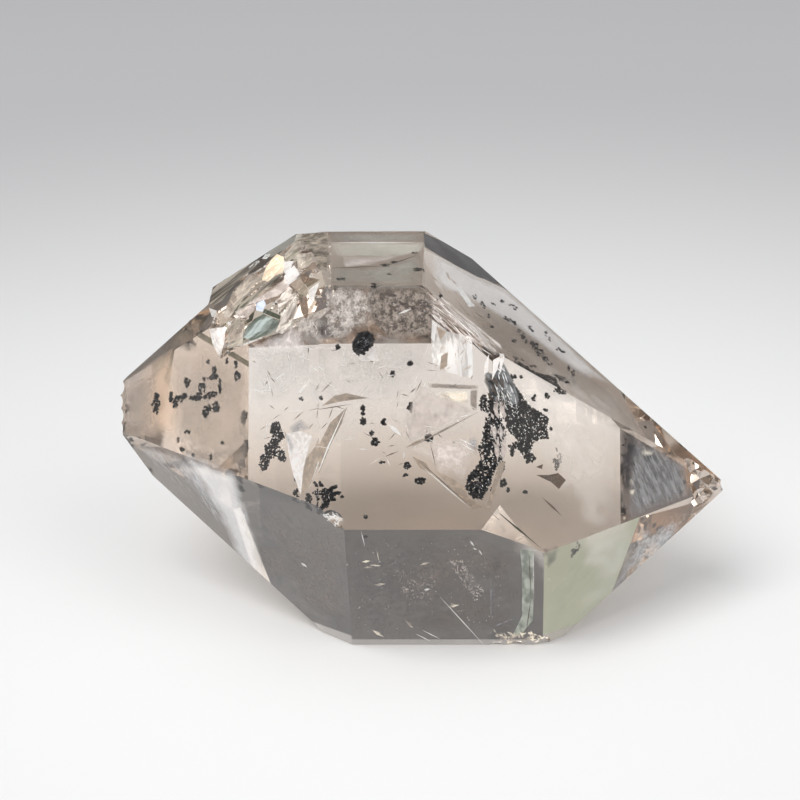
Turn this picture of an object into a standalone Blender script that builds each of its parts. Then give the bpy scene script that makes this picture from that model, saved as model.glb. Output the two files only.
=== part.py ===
"""Double-ended quartz crystal of the Herkimer habit, lying on one of its prism faces.

The long axis of the crystal runs along X and its front faces look along -Y.
Lengths in the tables are millimetres, angles are degrees; the scene is in metres.
The origin is under the middle of the crystal, on the surface it lies on.
"""

import math

import bmesh
import bpy
from mathutils import Matrix, Vector

MM = 0.001

# Quartz fixes every angle: six prism faces stand round the long axis, and each
# end has six pyramid faces whose normals lean this far from that axis.
PYRAMID_LEAN = 51.79

# What differs from crystal to crystal is how far each face grew from the centre.
# side: direction it looks, up from the front; then prism, right end and left end distances
SIDES = {
    "front_upper": (30, 14.98, 17.10, 16.08),
    "front_lower": (-30, 16.36, 20.54, 15.78),
    "base": (-90, 16.53, 21.83, 17.51),
    "back_lower": (-150, 13.91, 19.77, 16.06),
    "back_upper": (150, 14.76, 15.35, 22.70),
    "top": (90, 17.07, 14.58, 19.32),
}
PRISM, RIGHT_END, LEFT_END = 0, 1, -1
CENTRE = Vector((-1.35, 0.8, SIDES["base"][1]))

# Towards the left tip the upper back face stopped growing sooner than beside the shoulder.
GROWTH_STEP_DISTANCE = 19.61
GROWTH_STEP_AT = Vector((-19.4, 8, 26))
GROWTH_STEP_TURN = 3

BLANK = 90
STEP_CUTTER = 30
FLAKE_CUTTER = 48
WELD = 0.00001


def looking(heading, rise):
    """Unit vector; heading turns from the front (-Y) to the left tip (-X), rise is up."""
    heading, rise = math.radians(heading), math.radians(rise)
    level = math.cos(rise)
    return Vector((-math.sin(heading) * level, -math.cos(heading) * level, math.sin(rise)))


def face_normal(side, end):
    """Unit normal of the prism face of a side, or of its pyramid face on one end."""
    angle = math.radians(SIDES[side][0])
    across = Vector((0, -math.cos(angle), math.sin(angle)))
    if end == PRISM:
        return across
    lean = math.radians(PYRAMID_LEAN)
    return across * math.sin(lean) + Vector((end * math.cos(lean), 0, 0))


def on_shoulder(front, down, depth):
    """Point under the top left pyramid face: mm to the front, down its slope, and deep."""
    normal = face_normal("top", LEFT_END)
    slope = Vector((-normal.z, 0, normal.x))
    return CENTRE + normal * (SIDES["top"][3] - depth) + Vector((0, -front, 0)) + slope * down


# Flakes struck off the shoulder. Each is bounded by planes (point, heading, rise):
# what lies on the side a plane looks to is gone. The first plane is the floor left behind.
FLAKES = {
    "long_flake": [
        (on_shoulder(-2.0, 1.0, 0.45), 86, 50),
        (on_shoulder(-5.0, 1.0, 0.00), 3, 10),
        (on_shoulder(0.0, 5.2, 0.50), -80, 35),
    ],
    "middle_flake": [
        (on_shoulder(1.5, 1.0, 1.00), 82, 53),
        (on_shoulder(0.6, 1.0, 0.00), -6, 16),
        (on_shoulder(3.5, 6.4, 0.60), -86, 30),
    ],
    "fan_flake": [
        (Vector((-9.9, -7.8, 31.6)), 82, 49),
        (on_shoulder(3.4, 1.0, 0.00), 8, 24),
        (Vector((-12.6, -5.4, 29.0)), -60, 30),
    ],
    "front_flake": [
        (Vector((-14.6, -4.5, 27.5)), 77, 56),
        (Vector((-13.9, -3.4, 27.9)), 40, 18),
        (Vector((-18.3, -1.4, 27.0)), -83, 32),
    ],
    "spike_flake": [
        (Vector((-18.3, -1.4, 27.0)), -83, 32),
        (Vector((-16.6, -1.9, 27.0)), 62, 40),
    ],
    "ledge_flake": [
        (Vector((-13.4, -2.6, 29.2)), 66, 58),
        (Vector((-13.4, -0.9, 29.2)), 18, 26),
        (Vector((-16.0, -2.0, 28.0)), -70, 34),
        (Vector((-11.6, -4.0, 30.0)), 120, 20),
    ],
    "top_bruise": [
        (Vector((-7.9, 0.5, 33.58)), 87, 85),
    ],
    "front_corner": [
        (Vector((7.28, -16.22, 17.0)), -22, 12),
    ],
}

# Shell-shaped chips struck from the tips and edges:
# (where on the surface, heading and rise it was struck from, radius of the shell, depth).
CHIPS = {
    "right_tip_front": (Vector((25.8, -1.7, 12.8)), -42, 23, 4.2, 0.45),
    "right_tip_top": (Vector((24.9, -1.6, 14.3)), -60, 45, 2.0, 0.50),
    "right_tip_under": (Vector((25.6, -1.9, 11.6)), -35, -8, 2.2, 0.45),
    "right_tip_end": (Vector((27.6, -0.5, 12.1)), -90, 0, 1.4, 0.45),
    "left_tip_high": (Vector((-27.2, 2.9, 20.4)), 84, 12, 1.0, 0.28),
    "left_tip_upper": (Vector((-27.3, 2.3, 19.2)), 92, 0, 0.9, 0.24),
    "left_tip_middle": (Vector((-27.3, 1.7, 18.1)), 80, 4, 1.1, 0.32),
    "left_tip_low": (Vector((-27.2, 1.2, 17.1)), 88, -10, 0.9, 0.25),
    "front_sparkle": (Vector((-7.13, -16.8, 15.97)), 8, 4, 1.2, 0.55),
    "rest_edge_left": (Vector((6.9, -8.6, 0.0)), 0, -55, 0.9, 0.30),
    "rest_edge_middle": (Vector((8.7, -8.6, 0.0)), 0, -50, 1.2, 0.36),
    "rest_edge_right": (Vector((11.1, -8.5, 0.1)), -20, -45, 1.2, 0.50),
    "ridge_nick": (Vector((-11.2, -14.6, 15.6)), 25, 10, 1.0, 0.16),
    "tail_nick": (Vector((14.5, -12.9, 11.6)), -38, 8, 1.1, 0.12),
}


def collection(name):
    new = bpy.data.collections.new(name)
    bpy.context.scene.collection.children.link(new)
    return new


def mesh_object(name, shape, home):
    mesh = bpy.data.meshes.new(name)
    shape.to_mesh(mesh)
    shape.free()
    new = bpy.data.objects.new(name, mesh)
    home.objects.link(new)
    return new


def block(size, middle):
    shape = bmesh.new()
    bmesh.ops.create_cube(shape, size=size * MM, matrix=Matrix.Translation(middle * MM))
    return shape


def cleave(shape, point, normal):
    """Cuts away what lies outside a plane, and closes the cut with a flat face."""
    everything = shape.verts[:] + shape.edges[:] + shape.faces[:]
    cut = bmesh.ops.bisect_plane(
        shape, geom=everything, plane_co=point * MM, plane_no=normal, clear_outer=True, dist=WELD / 10)
    rim = [item for item in cut["geom_cut"] if isinstance(item, bmesh.types.BMEdge)]
    if rim:
        bmesh.ops.holes_fill(shape, edges=rim, sides=0)


def finish(name, shape, home):
    bmesh.ops.remove_doubles(shape, verts=shape.verts[:], dist=WELD)
    bmesh.ops.recalc_face_normals(shape, faces=shape.faces[:])
    return mesh_object(name, shape, home)


def grow_crystal(home):
    """A block cleaved along the eighteen faces of the habit."""
    shape = block(BLANK, CENTRE)
    for side, (angle, *distances) in SIDES.items():
        for end, distance in zip((PRISM, RIGHT_END, LEFT_END), distances):
            normal = face_normal(side, end)
            cleave(shape, CENTRE + normal * distance, normal)
    return finish("quartz_crystal", shape, home)


def growth_step(home):
    normal = face_normal("back_upper", LEFT_END)
    point = CENTRE + normal * GROWTH_STEP_DISTANCE
    shape = block(STEP_CUTTER, Vector((GROWTH_STEP_AT.x - STEP_CUTTER / 2, point.y, point.z)))
    cleave(shape, point, -normal)
    cleave(shape, GROWTH_STEP_AT, -looking(90 + GROWTH_STEP_TURN, 0))
    return finish("growth_step", shape, home)


def flake(name, planes, home):
    floor = planes[0][0]
    shape = block(FLAKE_CUTTER, floor)
    for point, heading, rise in planes:
        cleave(shape, point, -looking(heading, rise))
    return finish(name, shape, home)


def chip(name, place, heading, rise, radius, depth, home):
    """A coarse ball sunk a little into the surface: it leaves a shallow conchoidal hollow."""
    middle = place + looking(heading, rise) * (radius - depth)
    shape = bmesh.new()
    bmesh.ops.create_icosphere(
        shape, subdivisions=3, radius=radius * MM, matrix=Matrix.Translation(middle * MM))
    return finish(name, shape, home)


def carve(body, cutter):
    cutter.hide_render = True
    cutter.display_type = "WIRE"
    cut = body.modifiers.new(cutter.name, "BOOLEAN")
    cut.operation = "DIFFERENCE"
    cut.solver = "EXACT"
    cut.object = cutter


def main():
    for old in list(bpy.data.objects):
        bpy.data.objects.remove(old, do_unlink=True)
    parts = collection("herkimer_diamond")
    cutters = collection("herkimer_diamond_cutters")
    crystal = grow_crystal(parts)
    carve(crystal, growth_step(cutters))
    for name, planes in FLAKES.items():
        carve(crystal, flake(name, planes, cutters))
    for name, blow in CHIPS.items():
        carve(crystal, chip(name, *blow, cutters))


main()
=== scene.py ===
# %% [markdown]
# The looks of a Herkimer diamond: a double-ended quartz crystal, faintly smoky, that lies on one
# of its prism faces. Its shape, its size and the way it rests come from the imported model, which
# this lesson loads as a fixed frame. What the lesson adds is everything that light meets: the
# clear quartz, its broken shoulder, the black carbon that it grew around and its healed cracks.

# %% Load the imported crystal
import math
import random

import bmesh
import bpy
import numpy as np
from mathutils import Matrix, Vector, geometry, noise
from mathutils.bvhtree import BVHTree


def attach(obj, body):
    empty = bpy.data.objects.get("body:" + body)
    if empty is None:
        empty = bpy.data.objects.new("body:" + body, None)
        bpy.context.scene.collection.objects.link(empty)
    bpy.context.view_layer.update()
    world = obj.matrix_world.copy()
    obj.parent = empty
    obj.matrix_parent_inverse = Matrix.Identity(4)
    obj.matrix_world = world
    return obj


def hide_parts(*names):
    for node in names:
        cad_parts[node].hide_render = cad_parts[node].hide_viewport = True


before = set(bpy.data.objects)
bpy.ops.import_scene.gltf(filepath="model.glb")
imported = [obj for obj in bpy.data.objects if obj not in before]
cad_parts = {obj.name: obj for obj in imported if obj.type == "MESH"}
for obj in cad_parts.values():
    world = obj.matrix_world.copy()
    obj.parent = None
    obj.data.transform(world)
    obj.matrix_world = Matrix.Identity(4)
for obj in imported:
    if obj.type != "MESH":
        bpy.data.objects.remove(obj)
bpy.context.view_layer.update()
MM = 0.001

# %% [markdown]
# Quartz always meets itself at the same angles. Six prism faces stand round the long axis, 60
# degrees apart, and each end has six pyramid faces that lean by one fixed angle. So every face
# has a name and a direction, and one number more says how far out it lies. Those distances are
# read from the loaded mesh, so that nothing here has to repeat the model.

# %% Name the crystal's faces
PYRAMID_LEAN = math.radians(51.79)
SIDE_ANGLES = {
    "front_upper": 30, "front_lower": -30, "base": -90,
    "back_lower": -150, "back_upper": 150, "top": 90,
}
ENDS = {"left": -1, "prism": 0, "right": 1}


def face_normal(side, end):
    """Outward direction of a prism face, or of the pyramid face on its left or right end."""
    angle = math.radians(SIDE_ANGLES[side])
    across = Vector((0, -math.cos(angle), math.sin(angle)))
    if end == "prism":
        return across
    return across * math.sin(PYRAMID_LEAN) + Vector((ENDS[end] * math.cos(PYRAMID_LEAN), 0, 0))


cad_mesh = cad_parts["quartz_crystal"].data
corners = np.array([v.co for v in cad_mesh.vertices])
HEIGHT = {
    (side, end): float((corners @ np.array(face_normal(side, end))).max())
    for side in SIDE_ANGLES
    for end in ENDS
}
print("face heights in mm:", {"_".join(k): round(v / MM, 1) for k, v in HEIGHT.items()})

# %% [markdown]
# Clear stone shows what stands around it, so the camera comes before any light: a long lens
# looks down on the crystal from the front, a little under 22 degrees above the table. The view
# is set by real distances. The heart of the crystal sits just below the middle of the picture.

# %% Set up the camera
HEART = Vector((-1.35, 0.80, 16.53)) * MM
VIEW_TURN = math.radians(1.988)
VIEW_RISE = math.radians(21.59)
VIEW_ROLL = math.radians(-0.874)
VIEW_DISTANCE = 287.5 * MM
HEART_RIGHT = 0.454 * MM
HEART_BELOW = 3.178 * MM
LENS = 142.48
SENSOR = 36
NEAREST = 10 * MM
FURTHEST = 20


def camera_axes():
    """Right, up and back of the camera."""
    turn = Matrix.Rotation(VIEW_TURN, 3, "Z")
    rise = Matrix.Rotation(math.radians(90) - VIEW_RISE, 3, "X")
    roll = Matrix.Rotation(VIEW_ROLL, 3, "Z")
    return turn @ rise @ roll


axes = camera_axes()
right, up, back = (axes.col[i] for i in range(3))
lens = bpy.data.cameras.new("studio_camera")
lens.lens = LENS
lens.sensor_width = SENSOR
lens.clip_start = NEAREST
lens.clip_end = FURTHEST
camera = bpy.data.objects.new("studio_camera", lens)
camera.matrix_world = Matrix.Translation(
    HEART - right * HEART_RIGHT + up * HEART_BELOW + back * VIEW_DISTANCE
) @ axes.to_4x4()
bpy.context.scene.collection.objects.link(camera)
bpy.context.scene.camera = camera
print("camera at mm:", [round(v / MM, 1) for v in camera.location])

# %% [markdown]
# Shader maths reads best as plain expressions. A Socket wraps the output of a node, and adding
# or scaling it adds the Math node that does so. Any other node comes from one method, which
# takes the node's type, its settings, and the values or links of its sockets.

# %% Helpers for shader expressions


class Socket:
    """The output of a shader node, with arithmetic."""

    def __init__(self, graph, output):
        self.graph = graph
        self.output = output

    def math(self, operation, *values):
        return self.graph.node("ShaderNodeMath", {"operation": operation}, dict(enumerate(values)))

    def __add__(self, other):
        return self.math("ADD", self, other)

    def __mul__(self, other):
        return self.math("MULTIPLY", self, other)

    __radd__ = __add__
    __rmul__ = __mul__

    def clamp(self):
        return self.graph.node("ShaderNodeClamp", {}, {0: self})

    def step(self, low, high, to_low=0.0, to_high=1.0):
        """Goes smoothly from to_low to to_high while the value goes from low to high."""
        values = {0: self, 1: low, 2: high, 3: to_low, 4: to_high}
        return self.graph.node("ShaderNodeMapRange", {"interpolation_type": "SMOOTHSTEP"}, values)


class Graph:
    """The node tree of a material or a world."""

    def __init__(self, owner):
        owner.use_nodes = True
        self.tree = owner.node_tree
        self.tree.nodes.clear()

    def node(self, kind, settings, values, output=0):
        """Adds a node: its settings first, then the values or links of its sockets."""
        new = self.tree.nodes.new(kind)
        for name, value in settings.items():
            setattr(new, name, value)
        for name, value in values.items():
            if isinstance(value, Socket):
                self.tree.links.new(value.output, new.inputs[name])
            else:
                new.inputs[name].default_value = value
        return Socket(self, new.outputs[output]) if new.outputs else None

    def place(self):
        """Object coordinates in metres."""
        return self.node("ShaderNodeTexCoord", {}, {}, "Object")

    def split(self, vector, axis):
        return self.node("ShaderNodeSeparateXYZ", {}, {0: vector}, axis)

    def vector_math(self, operation, *vectors):
        """A number that two vectors or one give, such as a length."""
        values = dict(enumerate(vectors))
        return self.node("ShaderNodeVectorMath", {"operation": operation}, values, "Value")

    def noise(self, place, scale, detail):
        values = {"Vector": place, "Scale": scale, "Detail": detail}
        return self.node("ShaderNodeTexNoise", {}, values, "Fac")

    def blend(self, amount, first, second):
        """Mixes two colours."""
        first, second = (c if isinstance(c, Socket) else (*c, 1) for c in (first, second))
        return self.node("ShaderNodeMix", {"data_type": "RGBA"}, {0: amount, 6: first, 7: second}, 2)

    def end(self, surface, volume=None, kind="ShaderNodeOutputMaterial"):
        values = {"Surface": surface}
        if volume is not None:
            values["Volume"] = volume
        self.node(kind, {}, values)


def material(name):
    new = bpy.data.materials.new(name)
    return new, Graph(new)


print("shader helpers: Socket, Graph, material")

# %% [markdown]
# The table is matt white, brightest round the stone and falling into shade further off. A real
# studio would do this with one sheet of paper and a lamp close to it. Here the paper's own grey
# carries the shade, so the picture keeps it however the lamps are set. A hair of air stays under
# the stone, because light that travels inside turns back at its resting face.

# %% Lay the table
FLOOR_SIZE = 8.0
AIR_GAP = 0.05 * MM
BRIGHT_RADIUS = 20 * MM
SHADE_RADIUS = 180 * MM
EDGE_RADIUS = 600 * MM
PAPER_NEAR = (0.865, 0.865, 0.865)
PAPER_FAR = (0.49, 0.49, 0.50)
PAPER_EDGE = (0.13, 0.13, 0.135)
PAPER_ROUGHNESS = 0.8
PAPER_SHEEN = 0.2
# SHADE_PLACE, SHADE_CORE, SHADE_REACH and SHADE_TINT paint a warm shadow on the paper just behind the
# stone, darkest close to it.
SHADE_PLACE = (1 * MM, 22 * MM, 0)
SHADE_CORE = 4 * MM
SHADE_REACH = 32 * MM
SHADE_TINT = (0.74, 0.67, 0.61)
table_paper, graph = material("table_paper")
spot = graph.place()
away = graph.vector_math("LENGTH", spot)
paper = graph.blend(away.step(BRIGHT_RADIUS, SHADE_RADIUS), PAPER_NEAR, PAPER_FAR)
paper = graph.blend(away.step(SHADE_RADIUS, EDGE_RADIUS), paper, PAPER_EDGE)
behind = graph.vector_math("DISTANCE", spot, SHADE_PLACE)
paper = graph.blend(behind.step(SHADE_CORE, SHADE_REACH), SHADE_TINT, paper)
matt = {"Base Color": paper, "Roughness": PAPER_ROUGHNESS, "Specular IOR Level": PAPER_SHEEN}
graph.end(graph.node("ShaderNodeBsdfPrincipled", {}, matt))

shape = bmesh.new()
bmesh.ops.create_grid(
    shape, x_segments=1, y_segments=1, size=FLOOR_SIZE / 2,
    matrix=Matrix.Translation((0, 0, -AIR_GAP)))
mesh = bpy.data.meshes.new("table")
shape.to_mesh(mesh)
shape.free()
table = bpy.data.objects.new("table", mesh)
table.data.materials.append(table_paper)
bpy.context.scene.collection.objects.link(table)
print("table in m:", FLOOR_SIZE, "air under the stone in mm:", AIR_GAP / MM)

# %% [markdown]
# Glass and quartz have no colour of their own to show: every face is a small window or mirror
# that looks in one direction. So the studio round them does the work. A pale ceiling darkens to
# a dim horizon, which the lower faces look at and turn slate grey. Soft patches then make a
# window on the right, a grey-green wall behind on the left and the dim corner of the camera.

# %% Surround the stone with light
DIM = (0.125, 0.126, 0.130)
LOW_SKY = (0.5, 0.5, 0.5)
BACK_CEILING = (0.30, 0.30, 0.31)
FRONT_CEILING = (1.15, 1.15, 1.14)
LOW_SKY_RISE = (19, 30)
CEILING_RISE = (28, 55)
CEILING_DEPTH = (-0.6, 0.5)
PATCHES = {
    # colour, azimuth from straight back to the right, rise, half width, softness
    "window": ((1.0, 1.0, 1.0), 118, 16, 12, 16),
    "green_wall": ((0.40, 0.43, 0.33), -38, 14, 16, 8),
    "camera_corner": ((0.25, 0.26, 0.29), 182, 30, 14, 12),
    "left_wall": ((0.75, 0.75, 0.76), -109, 24, 22, 12),
}


def heading(azimuth, rise):
    """Unit vector; azimuth turns from straight back (+Y) to the right (+X)."""
    azimuth, rise = math.radians(azimuth), math.radians(rise)
    level = math.cos(rise)
    return Vector((math.sin(azimuth) * level, math.cos(azimuth) * level, math.sin(rise)))


def sines(angles):
    return [math.sin(math.radians(angle)) for angle in angles]


studio = bpy.data.worlds.new("studio")
bpy.context.scene.world = studio
graph = Graph(studio)
direction = graph.node("ShaderNodeTexCoord", {}, {}, "Generated")
rise = graph.split(direction, "Z")
low_sky = graph.blend(rise.step(*sines(LOW_SKY_RISE)), DIM, LOW_SKY)
towards_back = graph.split(direction, "Y").step(*CEILING_DEPTH)
ceiling = graph.blend(towards_back, FRONT_CEILING, BACK_CEILING)
light = graph.blend(rise.step(*sines(CEILING_RISE)), low_sky, ceiling)
for colour, azimuth, patch_rise, half_width, softness in PATCHES.values():
    facing = graph.vector_math("DOT_PRODUCT", direction, tuple(heading(azimuth, patch_rise)))
    edge = math.cos(math.radians(half_width + softness))
    full = math.cos(math.radians(half_width))
    light = graph.blend(facing.step(edge, full), light, colour)
graph.end(
    graph.node("ShaderNodeBackground", {}, {"Color": light, "Strength": 1.0}),
    kind="ShaderNodeOutputWorld")
print("studio patches:", list(PATCHES))

# %% [markdown]
# Two round lamps give the shine and the soft shadow: a strong one high at the front left, and a
# weaker fill at the front right. Each is set by how bright its face is, and its watts follow.

# %% Place the lamps
LAMPS = {
    # azimuth, rise, distance and diameter in m, radiance
    "front_left_softbox": (-147, 52, 1.5, 0.92, 6.6),
    "front_right_fill": (140, 38, 1.6, 1.0, 1.8),
}


def softbox(name, azimuth, rise, distance, size, radiance):
    """A round lamp that looks at the stone."""
    lamp = bpy.data.lights.new(name, "AREA")
    lamp.shape = "DISK"
    lamp.size = size
    lamp.energy = radiance * math.pi * math.pi * size ** 2 / 4
    new = bpy.data.objects.new(name, lamp)
    way = heading(azimuth, rise)
    new.location = HEART + way * distance
    new.rotation_euler = (-way).to_track_quat("-Z", "Y").to_euler()
    bpy.context.scene.collection.objects.link(new)
    print(name, "watts:", round(lamp.energy, 1))


for name, row in LAMPS.items():
    softbox(name, *row)

# %% [markdown]
# The quartz itself: clear glass of quartz's own refractive index, with a smoky rose tint that
# only shows over a length of stone, so it is absorption and not a surface colour.

# %% Smoky quartz
QUARTZ_INDEX = 1.544
SMOKE_TINT = (0.70, 0.49, 0.29, 1)
SMOKE_DENSITY = 14.0
smoky_quartz, graph = material("smoky_quartz")
glass = graph.node(
    "ShaderNodeBsdfPrincipled", {},
    {"Base Color": (1, 1, 1, 1), "Roughness": 0.0, "IOR": QUARTZ_INDEX, "Transmission Weight": 1.0})
smoke = graph.node("ShaderNodeVolumeAbsorption", {}, {"Color": SMOKE_TINT, "Density": SMOKE_DENSITY})
graph.end(glass, smoke)
print("quartz index:", QUARTZ_INDEX)

# %% [markdown]
# The model's broken shoulder is a few flat cuts. On the stone every cut is a stair of small
# shell-shaped flakes that run down the slope, and they make its glitter. Two questions come
# first: which faces of the mesh are crystal faces, which stay flat, and how high the broken
# surface stands at any place. The height is that of long cells, each with a tilt of its own.
# Blender starts its noise vectors from the clock, so a fixed seed keeps every run the same.

# %% Describe the broken surface
FLAKE_SIZE = 1.7
FLAKE_STRETCH = 2.6
FLAKE_TILT = 0.22
FLAKE_STEP = 0.12
CLOCK_SEED = 7
TILT_SEED = 7.3
STEP_SEED = 3.1
DOWN_SLOPE = Vector((-0.62, 0, -0.78))
LEVEL_WITHIN = 0.05 * MM
TURNED_WITHIN = math.radians(0.5)
noise.seed_set(CLOCK_SEED)


def is_grown(part):
    """True for a face that lies in one of the eighteen crystal faces."""
    for (side, end), height in HEIGHT.items():
        normal = face_normal(side, end)
        level = abs(normal.dot(part.calc_center_median()) - height) < LEVEL_WITHIN
        if level and normal.dot(part.normal) > math.cos(TURNED_WITHIN):
            return True
    return False


def chipped(place):
    """Height in mm of a surface that is broken into small flat flakes."""
    cell = place / MM / FLAKE_SIZE
    cell = cell - DOWN_SLOPE * cell.dot(DOWN_SLOPE) * (1 - 1 / FLAKE_STRETCH)
    seed = noise.voronoi(cell)[1][0]
    tilt = noise.noise_vector(seed * TILT_SEED)
    height = tilt.dot(cell - seed) * FLAKE_TILT * FLAKE_SIZE
    return height + noise.noise(seed * STEP_SEED) * FLAKE_STEP


def in_order(items):
    """The items without repeats, in the order they come, so that every run is the same."""
    return list(dict.fromkeys(items))


print("flakes in mm:", FLAKE_SIZE, "wide,", FLAKE_SIZE * FLAKE_STRETCH, "long")

# %% [markdown]
# A copy of the model's mesh is merged, and the faces of the shoulder that are not crystal faces
# are cut finer. Then their points move to the height of the flakes. The rim of the shoulder
# stays in place, because it belongs to the flat faces as well.

# %% Chip the shoulder
MERGE_WITHIN = 0.001 * MM
FLAT_ENOUGH = math.radians(0.05)
SHOULDER_END = -4
SHOULDER_FOOT = 21
FINEST_EDGE = 0.45 * MM
ROUNDS_OF_CUTS = 5
DEEPEST = -0.3
HIGHEST = 0.12
shape = bmesh.new()
shape.from_mesh(cad_mesh)
bmesh.ops.remove_doubles(shape, verts=shape.verts[:], dist=MERGE_WITHIN)
bmesh.ops.dissolve_limit(shape, angle_limit=FLAT_ENOUGH, verts=shape.verts[:], edges=shape.edges[:])
shape.normal_update()
broken = shape.faces.layers.int.new("broken")
for part in shape.faces:
    middle = part.calc_center_median() / MM
    part[broken] = int(middle.x < SHOULDER_END and middle.z > SHOULDER_FOOT and not is_grown(part))
corner_cut = max(
    (part for part in shape.faces if part.calc_center_median().x > 0 and not is_grown(part)),
    key=lambda part: part.calc_area())
cut_normal = corner_cut.normal.copy()
FLAT_FACES = [(face_normal(*key), height) for key, height in HEIGHT.items()]
FLAT_FACES.append((cut_normal, cut_normal.dot(corner_cut.calc_center_median())))
shoulder = [part for part in shape.faces if part[broken]]
print("shoulder faces:", len(shoulder))
bmesh.ops.triangulate(shape, faces=shoulder)
for _ in range(ROUNDS_OF_CUTS):
    long_edges = in_order(
        edge for part in shape.faces if part[broken] for edge in part.edges
        if edge.calc_length() > FINEST_EDGE)
    bmesh.ops.subdivide_edges(shape, edges=long_edges, cuts=1)
    bmesh.ops.triangulate(shape, faces=[part for part in shape.faces if part[broken]])
bmesh.ops.dissolve_degenerate(shape, dist=MERGE_WITHIN, edges=shape.edges[:])
shape.normal_update()
moves = {}
for corner in shape.verts:
    if all(part[broken] for part in corner.link_faces):
        moves[corner] = corner.normal * min(max(chipped(corner.co), DEEPEST), HIGHEST) * MM
for corner, move in moves.items():
    corner.co += move
print("points moved:", len(moves))

# %% [markdown]
# The finished mesh becomes the visible crystal and takes the place of the model's plain one. A search
# tree of it stays behind, to answer whether a point lies in the stone: the carbon grains and the flat
# films put inside later ask that first, so that they do not show outside.

# %% Make the visible crystal


def piece(name, shape, finish):
    """Turns a bmesh into an object that belongs to the crystal."""
    mesh = bpy.data.meshes.new(name)
    shape.to_mesh(mesh)
    shape.free()
    mesh.materials.append(finish)
    new = bpy.data.objects.new(name, mesh)
    bpy.context.scene.collection.objects.link(new)
    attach(new, "root")
    return new


stone = BVHTree.FromBMesh(shape)


def in_stone(place, gap=0.0):
    """True if a point lies in the stone, at least gap metres under its flat faces."""
    if any(normal.dot(place) > height - gap for normal, height in FLAT_FACES):
        return False
    nearest, normal, _, _ = stone.find_nearest(place)
    return normal.dot(place - nearest) < 0


crystal = piece("crystal", shape, smoky_quartz)
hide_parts("quartz_crystal")
print("crystal faces:", len(crystal.data.polygons))

# %% [markdown]
# What is sealed in the stone is placed the way a gemmologist maps inclusions: look at a spot of the
# picture, through a named face, and say how deep the thing lies. Light bends where it enters quartz,
# so the function bends the line of sight by the same law before it goes in.

# %% Look into the stone
PICTURE = 800
BROAD = ("front_upper", "prism")
RIGHT_SLOPE = ("front_upper", "right")
LEFT_SLOPE = ("front_upper", "left")
TOP = ("top", "prism")
TOP_RIGHT = ("top", "right")
LOW = ("front_lower", "prism")
LOW_RIGHT = ("front_lower", "right")
LOW_LEFT = ("front_lower", "left")
UPPER_FRONT = "whichever of the three upper front faces is seen there"
LEFT_RIDGE_X = 321
RIGHT_RIDGE_X = 500


def line_of_sight(x, y):
    """Direction from the camera through x, y of the picture."""
    scale = SENSOR / LENS / PICTURE
    ray = right * (x - PICTURE / 2) * scale - up * (y - PICTURE / 2) * scale - back
    return ray.normalized()


def sight(x, y, face, deep):
    """The point seen at x, y of the picture, deep mm behind a face of the stone."""
    if face == UPPER_FRONT:
        face = LEFT_SLOPE if x < LEFT_RIDGE_X else RIGHT_SLOPE if x > RIGHT_RIDGE_X else BROAD
    normal = face_normal(*face)
    ray = line_of_sight(x, y)
    eye = camera.location
    entry = eye + ray * ((HEIGHT[face] - normal.dot(eye)) / normal.dot(ray))
    fall = -normal.dot(ray)
    inner_fall = math.sqrt(1 - (1 - fall ** 2) / QUARTZ_INDEX ** 2)
    bent = ray / QUARTZ_INDEX + normal * (fall / QUARTZ_INDEX - inner_fall)
    return entry + bent * (deep * MM / inner_fall)


in_coal = sight(530, 425, RIGHT_SLOPE, 8)
print("heart of the coal at mm:", [round(v / MM, 1) for v in in_coal])

# %% [markdown]
# The black marks are carbon, a hard glossy tar that was there before the quartz grew round it.
# Under a loupe each mark is a crowd of tiny shards. So a mark is an outline that is filled with
# hundreds of small angular grains, each a coarse ball with its corners pushed about.

# %% Black carbon
GRIT_SCALE = 3500.0
TAR_DARK = (0.004, 0.004, 0.005)
TAR_PALE = (0.020, 0.018, 0.018)
TAR_ROUGHNESS = (0.06, 0.30)
TAR_INDEX = 1.7
GRIT_EDGES = (0.3, 0.7)
GRIT_DETAIL = 2.0
FLATTEN = (0.5, 1)
FLATTEN_MORE = (0.3, 0.8)
KNOCK = 0.35
black_carbon, graph = material("black_carbon")
grit = graph.noise(graph.place(), GRIT_SCALE, GRIT_DETAIL)
tar = graph.node(
    "ShaderNodeBsdfPrincipled", {},
    {"Base Color": graph.blend(grit, TAR_DARK, TAR_PALE),
     "Roughness": grit.step(*GRIT_EDGES, *TAR_ROUGHNESS), "IOR": TAR_INDEX})
graph.end(tar)


def inside(outline, x, y):
    """True if a point is inside a closed outline."""
    crossings = 0
    for (x0, y0), (x1, y1) in zip(outline, outline[1:] + outline[:1]):
        if (y0 > y) != (y1 > y) and x < x0 + (y - y0) * (x1 - x0) / (y1 - y0):
            crossings += 1
    return crossings % 2 == 1


def add_grain(shape, middle, size, dice):
    """A shard of carbon: a coarse ball, flattened, turned and knocked out of shape."""
    turn = Matrix.Rotation(dice.uniform(0, math.tau), 4, dice.choice("XYZ"))
    tilt = Matrix.Rotation(dice.uniform(0, math.tau), 4, dice.choice("XYZ"))
    flat = Matrix.Diagonal((1, dice.uniform(*FLATTEN), dice.uniform(*FLATTEN_MORE), 1))
    ball = bmesh.ops.create_icosphere(
        shape, subdivisions=1, radius=size, matrix=Matrix.Translation(middle) @ turn @ tilt @ flat)
    for corner in ball["verts"]:
        corner.co += Vector([dice.uniform(-KNOCK, KNOCK) * size for _ in range(3)])


print("carbon index:", TAR_INDEX)

# %% [markdown]
# Each mark lies on a sheet of its own, which may lean into the stone: the coal, the largest one,
# starts close under the right slope and runs seven millimetres deeper. Depth matters, because
# the facets repeat what is deep in the stone and show what is shallow only once.

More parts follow.
